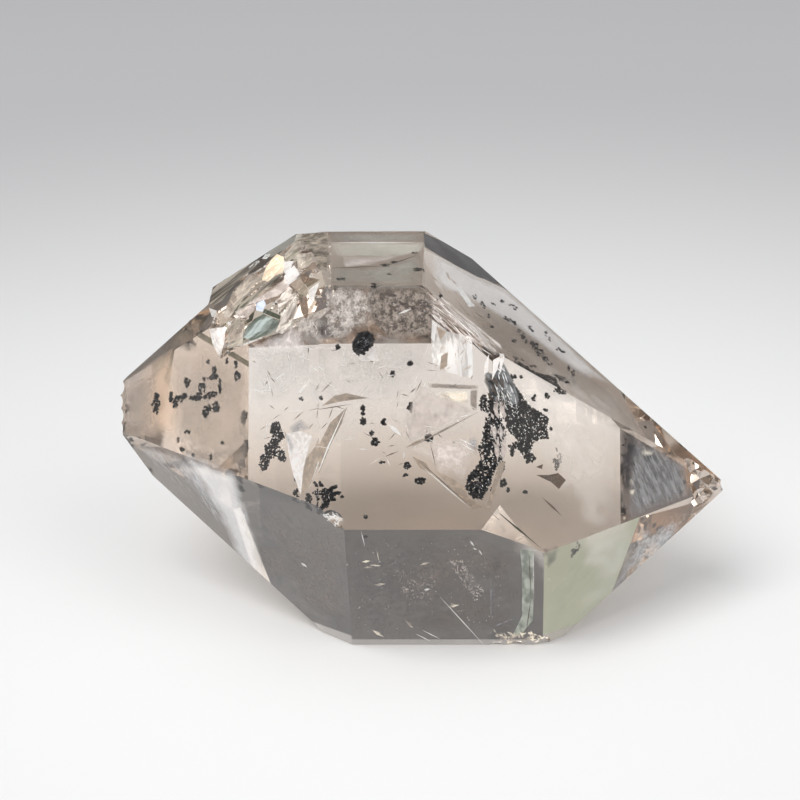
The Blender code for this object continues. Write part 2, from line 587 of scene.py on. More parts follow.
# %% Carbon marks
SHEET_SPREAD = 0.15
GRAIN_SIZES = (0.4, 1)
MARKS = {
    # face, depth at its upper left, extra depth at its right and at its foot, size of a grain
    # (all in mm), grains for each square of the picture, outline in the picture
    "coal": (RIGHT_SLOPE, 3.2, 7, 0, 0.2, 1.1, [
        (500, 388), (508, 384), (517, 388), (524, 400), (531, 407), (541, 413), (549, 419),
        (546, 425), (548, 438), (539, 438), (533, 443), (519, 441), (508, 430), (501, 410)]),
    "coal_foot": (RIGHT_SLOPE, 7, 3, 0, 0.2, 0.9, [
        (515, 440), (530, 440), (533, 446), (529, 452), (536, 456), (534, 461), (527, 463),
        (523, 455), (518, 449)]),
    "coal_root": (RIGHT_SLOPE, 7, 1, 0, 0.2, 0.8, [(509, 446), (515, 441), (516, 449), (511, 457)]),
    "ribbon_top": (BROAD, 2.6, 0, 0, 0.16, 0.5, [
        (481, 394), (487, 396), (493, 412), (489, 418), (480, 410)]),
    "ribbon": (BROAD, 2.4, 0, 0.4, 0.18, 0.6, [
        (486, 418), (494, 418), (499, 434), (494, 446), (497, 456), (491, 461), (482, 461),
        (478, 450), (483, 436)]),
    "ribbon_foot": (BROAD, 2.8, 0, 0.6, 0.2, 0.6, [
        (483, 459), (498, 462), (488, 487), (481, 499), (473, 498), (466, 488), (468, 476),
        (476, 468)]),
    "blob": (BROAD, 1.2, 0, 0, 0.28, 1.1, [
        (352, 345), (357, 335), (366, 331), (372, 335), (373, 342), (368, 348), (364, 354),
        (357, 353)]),
    "left_cluster": (LEFT_SLOPE, 3.2, 0, 0.5, 0.18, 0.85, [
        (270, 431), (272, 424), (279, 421), (281, 429), (285, 437), (280, 440), (279, 446),
        (284, 452), (286, 460), (282, 463), (277, 456), (270, 459), (268, 467), (264, 471),
        (259, 465), (261, 457), (266, 452), (264, 446), (270, 442), (273, 437)]),
    "low_cluster": (BROAD, 1.8, 0, 0, 0.18, 1.0, [
        (318, 479), (323, 485), (328, 489), (337, 484), (334, 492), (341, 492), (334, 496),
        (336, 501), (330, 500), (328, 506), (322, 510), (320, 507), (324, 501), (322, 496),
        (317, 493), (322, 490)]),
    "low_wing": (LEFT_SLOPE, 2.0, 0, 0, 0.2, 0.5, [
        (306, 495), (309, 491), (312, 500), (309, 505), (305, 500)]),
    "low_tail": (LEFT_SLOPE, 1.5, 0, 0, 0.18, 0.5, [(294, 487), (297, 489), (299, 497), (293, 494)]),
    "feather": (RIGHT_SLOPE, 3, 3, 0, 0.14, 0.35, [
        (500, 380), (513, 380), (517, 390), (505, 404), (500, 396)]),
    "sliver": (RIGHT_SLOPE, 20, 0, 0, 0.16, 0.7, [
        (555, 446), (558, 452), (562, 455), (561, 463), (557, 470), (554, 469), (556, 462),
        (552, 463), (554, 458), (558, 457)]),
    "right_bloom": (RIGHT_SLOPE, 1.5, 0, 0, 0.16, 0.16, [
        (623, 431), (632, 434), (636, 445), (634, 470), (628, 492), (623, 486), (622, 455)]),
}


def fill_outline(shape, face, outline, deep, across, down, size, crowd, dice):
    """Scatters grains over an outline of the picture, on a sheet that leans into the stone."""
    xs, ys = zip(*outline)
    wide = max(xs) - min(xs)
    tall = max(ys) - min(ys)
    grains = 0
    for _ in range(int(crowd * wide * tall)):
        x = dice.uniform(min(xs), max(xs))
        y = dice.uniform(min(ys), max(ys))
        if inside(outline, x, y):
            grains += 1
            here = deep + across * (x - min(xs)) / wide + down * (y - min(ys)) / tall
            place = sight(x, y, face, here + dice.gauss(0, SHEET_SPREAD))
            if in_stone(place, size * MM):
                add_grain(shape, place, dice.uniform(*GRAIN_SIZES) * size * MM, dice)
    return grains


for number, (name, (face, deep, across, down, size, crowd, outline)) in enumerate(MARKS.items()):
    dice = random.Random(number)
    shape = bmesh.new()
    grains = fill_outline(shape, face, outline, deep, across, down, size, crowd, dice)
    piece("carbon_" + name, shape, black_carbon)
    print("carbon", name, grains, "grains")

# %% [markdown]
# Besides the big marks there are dozens of specks, loose ones and a small cross-shaped group on
# the left. Each speck is a spot of the picture with its half width and half height, and is
# filled with grains in the same way. The sheets are named for where in the stone they lie.

# %% Carbon specks
SPECK_SEED = 100
SPECK_CROWD = 2.0
FEWEST_GRAINS = 6
SPECK_GRAIN = (0.08, 0.19)
SPECK_SPREAD = 0.1
SPECK_GAP = 0.15 * MM
SPECKS = {
    # face, depth in mm, spots: x, y, half width, half height in the picture
    "left_back": (LEFT_SLOPE, 6.5, [
        (197, 398, 5, 2), (207, 397, 4, 2), (215, 376, 4, 2), (214, 370, 2, 4), (201, 387, 3, 4),
        (187, 382, 3, 5), (187, 432, 3, 2), (237, 376, 3, 5), (236, 364, 1, 4), (227, 361, 1, 3),
        (208, 362, 1, 2), (178, 440, 1, 2), (182, 449, 2, 2), (211, 457, 1, 3), (223, 443, 2, 1),
        (193, 455, 1, 2)]),
    "left_front": (LEFT_SLOPE, 0.5, [
        (156, 397, 3, 4), (156, 403, 4, 5), (156, 410, 3, 4), (171, 397, 2, 5), (175, 404, 2, 4),
        (179, 399, 5, 3)]),
    "left_bars": (LEFT_SLOPE, 6.0, [
        (184, 396, 3, 3), (193, 398, 4, 2), (199, 396, 3, 4), (212, 394, 5, 3), (220, 386, 1, 9),
        (211, 378, 8, 1), (204, 386, 1, 6), (206, 412, 3, 6), (209, 408, 2, 4), (216, 407, 3, 6)]),
    "left_middle": (LEFT_SLOPE, 6.0, [
        (244, 418, 3, 7), (245, 448, 3, 9), (241, 464, 4, 5), (301, 399, 2, 2)]),
    "broad": (BROAD, 4.5, [
        (363, 410, 2, 5), (363, 421, 3, 4), (384, 422, 2, 4), (372, 433, 2, 2), (375, 442, 4, 4),
        (410, 407, 2, 5), (407, 466, 3, 4), (406, 475, 2, 1), (420, 481, 5, 3), (429, 438, 4, 4),
        (393, 374, 2, 3), (410, 363, 3, 2), (382, 462, 3, 1), (366, 517, 1, 1), (342, 497, 2, 1),
        (369, 360, 4, 1), (448, 407, 3, 3), (446, 414, 4, 2), (436, 416, 2, 1), (338, 347, 2, 2),
        (304, 477, 1, 4), (308, 466, 1, 2)]),
    "right": (RIGHT_SLOPE, 5.0, [
        (513, 377, 3, 2), (520, 377, 3, 1), (534, 398, 2, 4), (547, 396, 2, 3), (546, 410, 2, 1),
        (551, 429, 1, 1), (503, 483, 4, 4), (525, 492, 2, 1), (508, 490, 1, 2), (560, 390, 5, 2)]),
    "top": (TOP, 0.4, [
        (386, 265, 5, 1), (394, 262, 3, 1), (389, 274, 2, 1), (414, 253, 3, 1), (418, 269, 4, 2),
        (342, 279, 5, 1), (375, 284, 3, 1)]),
    "top_right": (TOP_RIGHT, 0.35, [
        (475, 297, 2, 2), (482, 303, 2, 2), (484, 306, 1, 2), (494, 304, 2, 1), (502, 301, 3, 1),
        (512, 305, 3, 1), (515, 308, 2, 2), (506, 318, 2, 2), (510, 320, 3, 2), (514, 323, 2, 2),
        (519, 331, 2, 2), (523, 336, 2, 3), (526, 341, 1, 2), (514, 341, 2, 2), (530, 328, 2, 2),
        (532, 331, 1, 2), (532, 343, 3, 2), (536, 347, 4, 4), (540, 353, 4, 4), (545, 359, 3, 3),
        (551, 364, 3, 1), (546, 333, 1, 3), (549, 339, 1, 3), (559, 349, 3, 2), (563, 352, 2, 1),
        (533, 366, 3, 1), (569, 368, 1, 3), (573, 373, 2, 3), (557, 376, 2, 1), (562, 379, 4, 2),
        (567, 382, 2, 1), (558, 389, 4, 1), (563, 391, 3, 1), (489, 316, 1, 2), (492, 327, 2, 1),
        (440, 295, 2, 3)]),
}
for number, (name, (face, deep, spots)) in enumerate(SPECKS.items()):
    dice = random.Random(SPECK_SEED + number)
    shape = bmesh.new()
    for x, y, wide, tall in spots:
        for _ in range(FEWEST_GRAINS + int(SPECK_CROWD * wide * tall)):
            turn = dice.uniform(0, math.tau)
            reach = math.sqrt(dice.random())
            spot_x = x + wide * reach * math.cos(turn)
            spot_y = y + tall * reach * math.sin(turn)
            place = sight(spot_x, spot_y, face, deep + dice.uniform(-SPECK_SPREAD, SPECK_SPREAD))
            if in_stone(place, SPECK_GAP):
                add_grain(shape, place, dice.uniform(*SPECK_GRAIN) * MM, dice)
    piece("specks_" + name, shape, black_carbon)
    print("specks", name, len(spots))

# %% [markdown]
# Cracks in quartz are thin films. Where one has healed it is a veil of tiny trapped bubbles,
# milky and half see-through. Others are stained brown or grey, or catch the light and shine
# white. One function makes every such finish from two tones, from how much the film covers, and
# from the size of its clouds and its dust. A little glow stands for the light that a real veil
# gathers from all round it, and the attribute named cover lets a film fade out at its edge.

# %% The finish of a veil
CLOUD_EDGES = (0.35, 0.65)
DUST_EDGES = (0.4, 0.7)
TONE_EDGES = (0.40, 0.58)
CLOUD_DETAIL = 5.0
DUST_DETAIL = 2.0
DUST_LOSS = 0.7
DUST_TONE = 2.6
VEIL_ROUGHNESS = 0.5


def veil(name, pale, dark, thin, thick, cloud=300.0, grain=2200.0, glow=0.35, lean=0, stretch=1,
         dusty=0.15):
    """A half see-through film: two colours, least and most cover, and sizes of its pattern.

    A stretched pattern runs in streaks, which lean by some degrees, down from the right.
    """
    finish, graph = material(name)
    spot = graph.node(
        "ShaderNodeMapping", {"vector_type": "TEXTURE"},
        {"Vector": graph.place(), "Rotation": (0, math.radians(lean), 0), "Scale": (stretch, 1, 1)})
    clouds = graph.noise(spot, cloud, CLOUD_DETAIL)
    dust = graph.noise(spot, grain, DUST_DETAIL)
    cover = clouds.step(*CLOUD_EDGES, thin, thick) + dust.step(*DUST_EDGES, -DUST_LOSS * dusty, dusty)
    fade = graph.node("ShaderNodeAttribute", {"attribute_name": "cover"}, {}, "Fac")
    share = DUST_TONE * dusty
    tone = (clouds * (1 - share) + dust * share).step(*TONE_EDGES)
    colour = graph.blend(tone, dark, pale)
    skin = graph.node(
        "ShaderNodeBsdfPrincipled", {},
        {"Base Color": colour, "Roughness": VEIL_ROUGHNESS, "Alpha": cover.clamp() * fade,
         "Emission Color": colour, "Emission Strength": glow})
    graph.end(skin)
    return finish


print("veil maker ready")

# %% [markdown]
# The palette comes from looking at the stone in patches: milk and mist in its cloudy middle, ice and
# snow on the plates that mirror, where the white and its glow are a painted reflection, tan, brown
# and taupe where iron has stained a crack, painted shade in slate, grey, faint and brownish films
# where the crystal stays dark, painted light in a pale gleam and a bright film, and sage at the low
# right.

# %% Mix the finishes
milk = veil(
    "milky_veil", (0.87, 0.85, 0.83), (0.72, 0.7, 0.68), 0.12, 0.48, cloud=170, grain=4000,
    glow=0.22, dusty=0.05)
mist = veil(
    "thin_mist", (0.95, 0.93, 0.9), (0.8, 0.77, 0.74), 0.0, 0.21, cloud=220, grain=4000, glow=0.28,
    dusty=0.05)
frost = veil(
    "frosted_part", (0.76, 0.71, 0.67), (0.42, 0.37, 0.33), 0.4, 0.8, cloud=1600, grain=6000,
    glow=0.26)
# Painted reflection: the icy plates are white with a glow where a crack mirrors the light.
ice = veil(
    "icy_plate", (0.97, 0.96, 0.95), (0.74, 0.72, 0.7), 0.55, 0.95, cloud=500, grain=1800, glow=0.38,
    lean=100, stretch=4)
fan = veil(
    "fan_plate", (0.93, 0.89, 0.86), (0.62, 0.55, 0.5), 0.35, 0.8, cloud=600, grain=1600, lean=38,
    stretch=9)
# Painted highlight: snow is white with a glow, for the glints of cracks that mirror.
snow = veil("snow_white_plate", (0.99, 0.99, 0.98), (0.9, 0.9, 0.89), 0.9, 1.0, glow=0.3)
tan = veil("tan_plate", (0.6, 0.49, 0.39), (0.5, 0.41, 0.33), 0.78, 0.92, cloud=120, glow=0.12)
brown = veil("brown_flake", (0.22, 0.15, 0.1), (0.14, 0.1, 0.07), 0.75, 0.9, grain=5000, glow=0)
stain = veil(
    "stained_film", (0.48, 0.41, 0.35), (0.1, 0.08, 0.07), 0.5, 0.9, cloud=2200, grain=6000,
    glow=0.15)
grey = veil("grey_film", (0.42, 0.43, 0.46), (0.16, 0.16, 0.19), 0.3, 0.7, cloud=420)
plume = veil(
    "feathery_film", (0.34, 0.36, 0.38), (0.02, 0.02, 0.025), 0.8, 1.0, cloud=1100, grain=3000,
    glow=0.15, lean=62, stretch=4)
cloud = veil("pale_cloud", (0.95, 0.89, 0.87), (0.84, 0.77, 0.74), 0.4, 0.62, cloud=200, glow=0.3)
cream = veil("cream_film", (1.0, 0.93, 0.8), (0.58, 0.5, 0.42), 0.3, 0.9, cloud=480)
plain_white = veil("white_flake", (0.93, 0.9, 0.88), (0.8, 0.76, 0.73), 0.75, 0.95, cloud=200)
moss = veil("moss_dark_flake", (0.12, 0.14, 0.09), (0.05, 0.06, 0.03), 0.8, 1.0, glow=0)
# Painted shade: a faint dark film that darkens the faces it lies under.
shade = veil(
    "faint_shade", (0.3, 0.25, 0.22), (0.05, 0.05, 0.06), 0.0, 0.5, cloud=170, grain=1400, glow=0.05)
# Painted shade: a grey film that darkens the top face.
painted_grey_shade = veil(
    "painted_grey_shade", (0.56, 0.55, 0.5), (0.42, 0.42, 0.38), 0.2, 0.5, cloud=120, glow=0.2, dusty=0.04)
# Painted light: a bright glowing film that lightens the right slope from deep behind it.
painted_light = veil(
    "painted_light_haze", (0.97, 0.95, 0.93), (0.93, 0.91, 0.89), 0.4, 0.46, cloud=40, glow=0.36,
    dusty=0.01)
# Painted shade: a dark slate film along the top right edge.
slate = veil(
    "painted_shade_slate_film", (0.27, 0.27, 0.28), (0.17, 0.17, 0.175), 0.7, 0.8, cloud=200, glow=0.1, dusty=0.02)
# Painted light: a pale glowing film that brightens the faces it lies under.
painted_gleam = veil(
    "painted_gleam_pale", (0.94, 0.94, 0.95), (0.9, 0.9, 0.91), 0.36, 0.46, cloud=60, glow=0.42, dusty=0.02)
# Painted shade: a brownish film that darkens the left slope and the top right face.
painted_shade_band = veil(
    "painted_shade_band", (0.5, 0.44, 0.39), (0.34, 0.29, 0.25), 0.08, 0.27, cloud=120, glow=0.12,
    dusty=0.03)
blush = veil(
    "blush_film", (0.9, 0.7, 0.54), (0.84, 0.65, 0.5), 0.45, 0.6, cloud=80, glow=0.3, dusty=0.01)
taupe = veil(
    "taupe_film", (0.53, 0.44, 0.37), (0.44, 0.36, 0.3), 0.5, 0.65, cloud=150, glow=0.2, dusty=0.02)
mottle = veil(
    "mottled_grey", (0.72, 0.73, 0.75), (0.34, 0.35, 0.37), 0.0, 0.55, cloud=260, grain=3000,
    glow=0.2, lean=55, stretch=2.5)
rose = veil("rose_haze", (0.84, 0.77, 0.73), (0.68, 0.6, 0.56), 0.35, 0.62, glow=0.25, dusty=0.05)
frame_shadow = veil(
    "frame_shadow", (0.5, 0.43, 0.38), (0.34, 0.28, 0.24), 0.6, 0.8, cloud=400, glow=0.1)
sage = veil(
    "sage_haze", (0.84, 0.86, 0.8), (0.3, 0.36, 0.27), 0.0, 0.36, cloud=110, grain=2000, glow=0.25,
    lean=-60, stretch=2.5, dusty=0.02)
pale_sage = veil(
    "pale_sage", (0.78, 0.77, 0.7), (0.7, 0.69, 0.62), 0.35, 0.5, cloud=120, glow=0.3, dusty=0.02)
brushed = veil(
    "brushed_grey", (0.48, 0.48, 0.49), (0.24, 0.25, 0.26), 0.5, 0.72, cloud=2200, grain=4000,
    glow=0.16, lean=76, stretch=10)
soot = veil(
    "soft_soot", (0.06, 0.06, 0.07), (0.02, 0.02, 0.03), 0.4, 1.0, cloud=500, grain=2500, glow=0)
olive = veil(
    "striated_green", (0.52, 0.56, 0.49), (0.26, 0.29, 0.24), 0.8, 0.95, cloud=900, grain=1500,
    glow=0.25, lean=88, stretch=30)
print("finishes mixed:", len(bpy.data.materials))

# %% [markdown]
# Every film is a few corners of the picture with their depths, made one flat face, cut finer,
# rippled a little like the shell-shaped breaks of glass, and given a hair of thickness. Where
# an outline runs past the end of the stone, the film is trimmed along the crystal's own faces.

# %% Make a thin film
FILM_THICKNESS = 0.03 * MM
RIM_GAP = 0.03 * MM
FEATHER = 0.4
FEATHER_SCALE = 0.8
FILM_RIPPLE = 0.05
RIPPLE_SCALE = 0.9


def gap_to_rim(place, rim):
    """How far a point is from the closed outline round it."""
    gaps = []
    for start, end in zip(rim, rim[1:] + rim[:1]):
        share = geometry.intersect_point_line(place, start, end)[1]
        nearest = start.lerp(end, min(max(share, 0), 1))
        gaps.append((place - nearest).length)
    return min(gaps)


def trim(shape, parts):
    """Cuts a film off where the stone ends, and returns what stays of it."""
    kept = in_order(item for part in parts for item in (part, *part.edges, *part.verts))
    for normal, height in FLAT_FACES:
        limit = height - RIM_GAP
        if any(normal.dot(item.co) > limit for item in kept if isinstance(item, bmesh.types.BMVert)):
            halves = bmesh.ops.bisect_plane(
                shape, geom=kept, plane_co=normal * limit, plane_no=normal, clear_outer=True)
            kept = in_order(halves["geom"])
    parts = [item for item in kept if isinstance(item, bmesh.types.BMFace)]
    outside = [part for part in parts if not in_stone(part.calc_center_median())]
    bmesh.ops.delete(shape, geom=outside, context="FACES")
    return [part for part in parts if part.is_valid]


def cut_plate(shape, places, cuts):
    """Spans a flat face over the places and cuts it into small ones."""
    rim = [shape.verts.new(place) for place in places]
    plate = bmesh.ops.triangulate(shape, faces=[shape.faces.new(rim)])["faces"]
    edges = in_order(edge for part in plate for edge in part.edges)
    grown = bmesh.ops.subdivide_edges(shape, edges=edges, cuts=cuts, use_grid_fill=True)
    parts = [item for item in grown["geom"] if isinstance(item, bmesh.types.BMFace)]
    return in_order(part for part in parts + plate if part.is_valid)


def cover_layer(shape):
    """The attribute that lets a film fade out."""
    layers = shape.verts.layers.float
    return layers.get("cover") or layers.new("cover")


def add_film(shape, face, corners, deep, soft, cuts, ripple=FILM_RIPPLE):
    """Adds a thin rippled plate with corners x, y, deep mm behind a face.

    A corner at another depth ends with it. Soft is the width in mm over which the film fades.
    """
    cover = cover_layer(shape)
    places = [sight(x, y, face, *(own or [deep])) for x, y, *own in corners]
    parts = cut_plate(shape, places, cuts)
    normal = face_normal(*(BROAD if face == UPPER_FRONT else face))
    for corner in in_order(corner for part in parts for corner in part.verts):
        edge = gap_to_rim(corner.co, places) / MM
        edge += FEATHER * soft * noise.noise(corner.co / MM * FEATHER_SCALE)
        corner[cover] = min(max(edge / soft, 0), 1) if soft else 1
        corner.co += normal * noise.noise(corner.co / MM * RIPPLE_SCALE) * ripple * MM
    parts = trim(shape, parts)
    bmesh.ops.recalc_face_normals(shape, faces=parts)
    bmesh.ops.solidify(shape, geom=parts, thickness=FILM_THICKNESS)


print("film thickness in mm:", FILM_THICKNESS / MM)

# %% [markdown]
# The films themselves, from the milk on the left to the striped strip at the low right. Some are
# painted shade or painted light that darken or brighten the faces in front of them. The bright film
# of painted light behind the coal lies deeper than the coal, so that the black stays black, and the
# films under the roof lie deeper than the specks in front of them.

# %% Thin films in the stone
SOFT_EDGE = {
    # width in mm over which a film of this finish fades out
    milk: 2.2, mist: 3.0, frost: 1.2, stain: 0.25, fan: 0.5, grey: 0.6, cream: 0.5, cloud: 1.2,
    plume: 0.25, shade: 1.5, painted_gleam: 1.3, painted_shade_band: 1.0, painted_grey_shade: 0.8, blush: 2.0,
    taupe: 1.2, mottle: 1.4, rose: 0.5, sage: 2.0, pale_sage: 0.4, brushed: 0.8, soot: 0.8,
    frame_shadow: 0.15, painted_light: 5.0,
}
FINE_CUTS = 14
COARSE_CUTS = 6
FILMS = {
    # finish, face, depth in mm, plates: corners in the picture
    "milk_left": (milk, LEFT_SLOPE, 5, [
        [(251, 349), (285, 338), (320, 334), (321, 402), (290, 400), (262, 412), (251, 404)]]),
    "milk_broad": (milk, BROAD, 5, [
        [(322, 330), (350, 340), (382, 334), (432, 336), (440, 374), (412, 384), (398, 398, 6),
         (350, 404, 6), (322, 408, 6)]]),
    "mist": (mist, BROAD, 9, [
        [(322, 330, 8), (425, 336), (476, 380), (484, 440), (440, 462), (380, 456, 8),
         (322, 440, 8)]]),
    "brown_band": (stain, BROAD, 0.5, [
        [(372, 287), (427, 287), (434, 302), (432, 338), (388, 338), (374, 324), (368, 304)]]),
    "frosted_corner": (frost, BROAD, 0.6, [
        [(316, 287), (378, 287), (378, 322), (352, 336), (318, 344)]]),
    "frosted_slope": (frost, LEFT_SLOPE, 0.6, [
        [(280, 316), (314, 290), (321, 290), (321, 344), (296, 340)]]),
    "icy_plates": (ice, BROAD, 2, [
        [(431, 318), (446, 330, 3), (447, 370, 3), (432, 362)],
        [(446, 331), (459, 334, 4), (459, 375, 4), (447, 372)],
        [(459, 334), (471, 337, 4), (473, 377, 4), (460, 377)]]),
    "fan_plates": (fan, BROAD, 2, [
        [(428, 296), (446, 298), (500, 344, 2.5), (498, 358, 2.5), (472, 338, 2.5), (434, 318)]]),
    "white_blades": (plain_white, BROAD, 1.5, [
        [(484, 374), (485, 362), (489, 354), (488, 372)],
        [(493, 360), (501, 356), (497, 370), (492, 380)],
        [(353, 353, 2.2), (372, 338, 2.2), (379, 361, 2.2), (361, 361, 2.2)],
        [(433, 300, 1.4), (440, 297, 1.4), (452, 306, 1.4), (446, 306, 1.4)]]),
    "icy_edge": (snow, BROAD, 1.6, [
        [(466, 336), (472, 338), (473, 376), (469, 378)],
        [(432, 320, 1.4), (437, 324, 1.4), (434, 342, 1.4), (431, 338, 1.4)]]),
    "tan_slivers": (tan, BROAD, 1.6, [
        [(441, 356), (448, 352), (447, 366), (440, 370)],
        [(436, 326), (446, 332), (440, 340)]]),
    "roof_glint": (snow, TOP_RIGHT, 0.4, [[(456, 287), (460, 287), (475, 306), (469, 307)]]),
    "frame_edge": (frame_shadow, BROAD, 3, [
        [(428, 383), (479, 385), (479, 390), (428, 388)],
        [(470, 389), (478, 389), (477, 412), (470, 406)]]),
    "plate_above": (rose, BROAD, 3.5, [
        [(412, 396), (420, 384), (436, 390), (470, 406), (478, 412), (434, 434), (408, 446),
         (402, 424)]]),
    "frame_cream": (cream, BROAD, 3, [[(434, 391), (469, 390), (469, 407), (450, 402), (440, 401)]]),
    "ledge_milk": (cloud, LEFT_SLOPE, 0.6, [
        [(244, 348), (264, 338), (278, 333), (292, 322), (304, 334), (304, 354), (250, 356)]]),
    "white_wedge": (plain_white, LEFT_SLOPE, 1.2, [
        [(286, 434), (300, 431), (312, 436), (306, 457), (303, 471), (301, 495), (293, 474),
         (289, 456)]]),
    "tan_wedge": (tan, UPPER_FRONT, 1.1, [
        [(347, 407, 1.0), (330, 423, 1.0), (315, 446, 1.0), (329, 448, 1.0), (342, 423, 1.0)],
        [(315, 447), (306, 459), (303, 471), (301, 495), (312, 482), (329, 449)]]),
    "grey_patch": (grey, LEFT_SLOPE, 1.0, [
        [(284, 430), (289, 436), (295, 447), (293, 459), (288, 448)],
        [(288, 426, 2.8), (301, 419, 2.8), (316, 428, 2.8), (302, 433, 2.8), (291, 437, 2.8)]]),
    "teardrop": (tan, BROAD, 2, [
        [(322, 406), (334, 396), (346, 393), (368, 398), (352, 400), (338, 402)]]),
    "pale_patch": (cloud, BROAD, 4, [
        [(371, 322, 0.4), (379, 330, 0.4), (391, 340, 0.4), (376, 342, 0.4)],
        [(414, 450), (428, 443), (440, 437), (466, 438), (477, 450), (476, 464), (466, 482),
         (440, 475), (428, 462)]]),
    "diagonal": (tan, BROAD, 3, [
        [(437, 472), (452, 478), (464, 487), (468, 497), (482, 507, 2), (473, 509, 2), (455, 492)],
        [(412, 456), (426, 463), (432, 474), (420, 468)]]),
    "corner_gleam": (tan, BROAD, 0.5, [[(499, 462), (505, 462), (490, 508), (486, 508)]]),
    "plume": (plume, RIGHT_SLOPE, 2, [
        [(499, 357), (505, 364), (514, 382, 2.5), (520, 396, 3), (518, 408, 3), (506, 404, 3),
         (499, 392)]]),
    "plume_left": (plume, BROAD, 2.2, [
        [(485, 370), (498, 376), (499, 404), (490, 394), (484, 382)]]),
    "wing": (grey, BROAD, 3, [
        [(474, 433), (480, 440), (478, 458), (472, 452), (466, 446), (468, 438)]]),
    "brown_flake": (brown, RIGHT_SLOPE, 1.5, [
        [(536, 475), (549, 475), (558, 473), (566, 480), (559, 489), (551, 482), (545, 479)],
        [(536, 467), (543, 464), (542, 469)]]),
    # Painted shade on the front corner and on the low faces.
    "corner_shade": (shade, BROAD, 0.9, [
        [(476, 528), (491, 513), (508, 524), (536, 548), (516, 544), (498, 534)]]),
    "low_shade": (shade, LOW, 0.6, [
        [(352, 534), (472, 534), (518, 550), (520, 560), (516, 630), (352, 634)]]),
    "low_left_shade": (shade, LOW_LEFT, 0.6, [
        [(250, 486), (348, 534), (348, 632), (330, 630), (250, 560)]]),
    # Painted light on the low left face.
    "low_left_gleam": (painted_gleam, LOW_LEFT, 0.5, [
        [(180, 452), (236, 474), (250, 520), (262, 560), (266, 594), (240, 566), (218, 512)]]),
    "low_left_mottle": (mottle, LOW_LEFT, 0.6, [
        [(128, 438), (200, 464), (222, 512), (238, 546), (180, 492)]]),
    "left_blush": (blush, LEFT_SLOPE, 1.0, [
        [(140, 368), (172, 348), (186, 400), (178, 446), (140, 434)]]),
    "left_taupe": (taupe, LEFT_SLOPE, 1.0, [[(122, 384), (160, 358), (158, 438), (122, 430)]]),
    # Painted shade deep behind the left slope.
    "left_painted_shade": (painted_shade_band, LEFT_SLOPE, 7.5, [
        [(164, 352), (200, 346), (246, 346), (248, 400), (246, 470), (200, 452), (168, 430)]]),
    "left_corner": (taupe, LEFT_SLOPE, 0.6, [
        [(236, 410), (249, 404), (249, 478), (226, 466), (240, 446)]]),
    # Painted shade along the top right edge.
    "roof_edge": (slate, TOP_RIGHT, 0.2, [
        [(425, 233.5), (452, 245.5), (475, 258), (499, 284), (478, 277), (455, 265), (425, 247)]]),
    # Painted light on the top right face.
    "roof_gleam": (painted_gleam, TOP_RIGHT, 1.0, [
        [(430, 250), (470, 273), (502, 286), (560, 336), (610, 384), (580, 376), (520, 330),
         (470, 300), (434, 286)]]),
    # Painted shade on the lower part of the top right face.
    "roof_slope_painted_shade": (painted_shade_band, TOP_RIGHT, 0.9, [
        [(462, 296), (500, 312), (560, 352), (608, 390), (646, 432), (626, 430), (590, 410),
         (556, 390), (504, 352), (480, 330)]]),
    "roof_panel": (pale_sage, TOP, 0.7, [
        [(330, 243), (424, 243), (422, 252), (390, 258), (335, 256)]]),
    # Painted shade in grey on the top face.
    "roof_strip": (painted_grey_shade, TOP, 0.4, [[(327, 233.5), (423, 233.5), (424, 241.5), (327, 241.5)]]),
    "roof_top_painted_shade": (painted_grey_shade, TOP, 0.8, [
        [(330, 266), (370, 268), (400, 260), (422, 254), (422, 284), (330, 284)]]),
    "roof_wedge": (cloud, TOP, 0.6, [[(343, 257), (397, 256), (385, 262), (360, 267), (343, 267)]]),
    "low_right_milk": (mist, LOW_RIGHT, 0.6, [
        [(590, 545), (634, 530), (640, 560), (612, 600), (575, 622), (580, 580)]]),
    "right_haze": (brushed, RIGHT_SLOPE, 0.8, [
        [(630, 436), (655, 446), (687, 464), (688, 497), (650, 509), (628, 520)]]),
    "right_spots": (cream, RIGHT_SLOPE, 0.4, [
        [(640, 452, 0.5), (645, 449, 0.5), (655, 451, 0.5), (652, 456, 0.5), (643, 457, 0.5)],
        [(630, 465), (634, 466), (633, 471), (630, 471)],
        [(630, 477), (635, 478), (633, 485), (629, 484)],
        [(629, 490), (635, 489), (634, 496), (630, 495)],
        [(622, 516), (626, 515), (627, 520), (623, 521)]]),
    "right_bloom": (soot, RIGHT_SLOPE, 0.5, [
        [(621, 428), (634, 432), (638, 446), (634, 470), (628, 496), (621, 494)]]),
    # Painted light deep behind the right slope.
    "right_light": (painted_light, RIGHT_SLOPE, 11.5, [
        [(506, 364), (560, 394), (622, 428), (624, 520), (590, 534), (548, 480), (520, 430)]]),
    "low_right_sage": (sage, LOW_RIGHT, 0.7, [
        [(545, 551), (634, 526), (640, 560), (612, 604), (570, 632), (545, 636)]]),
    "low_right_soot": (soot, LOW_RIGHT, 0.4, [[(544, 551), (560, 547), (556, 560), (546, 572)]]),
    "low_right_mottle": (mottle, LOW_RIGHT, 0.6, [
        [(634, 528), (694, 506), (668, 548), (628, 588), (604, 606), (622, 566)]]),
    "low_strip": (olive, LOW, 0.4, [
        [(520, 549), (534, 551), (534, 580), (533, 620), (520, 636), (513, 635), (522, 616),
         (522, 570)]]),
}
for name, (finish, face, deep, plates) in FILMS.items():
    shape = bmesh.new()
    soft = SOFT_EDGE.get(finish, 0)
    for corners in plates:
        add_film(shape, face, corners, deep, soft, FINE_CUTS if soft > 1 else COARSE_CUTS)
    piece("film_" + name, shape, finish)
print("films:", len(FILMS))

# %% [markdown]
# Cracks also lie just under the broken shoulder, so close that they follow it. They give it its
# cream, white, brown and grey-green parts. Each is an outline of the picture again, but its
# points are carried along the line of sight onto the stone itself and set a hair below it.

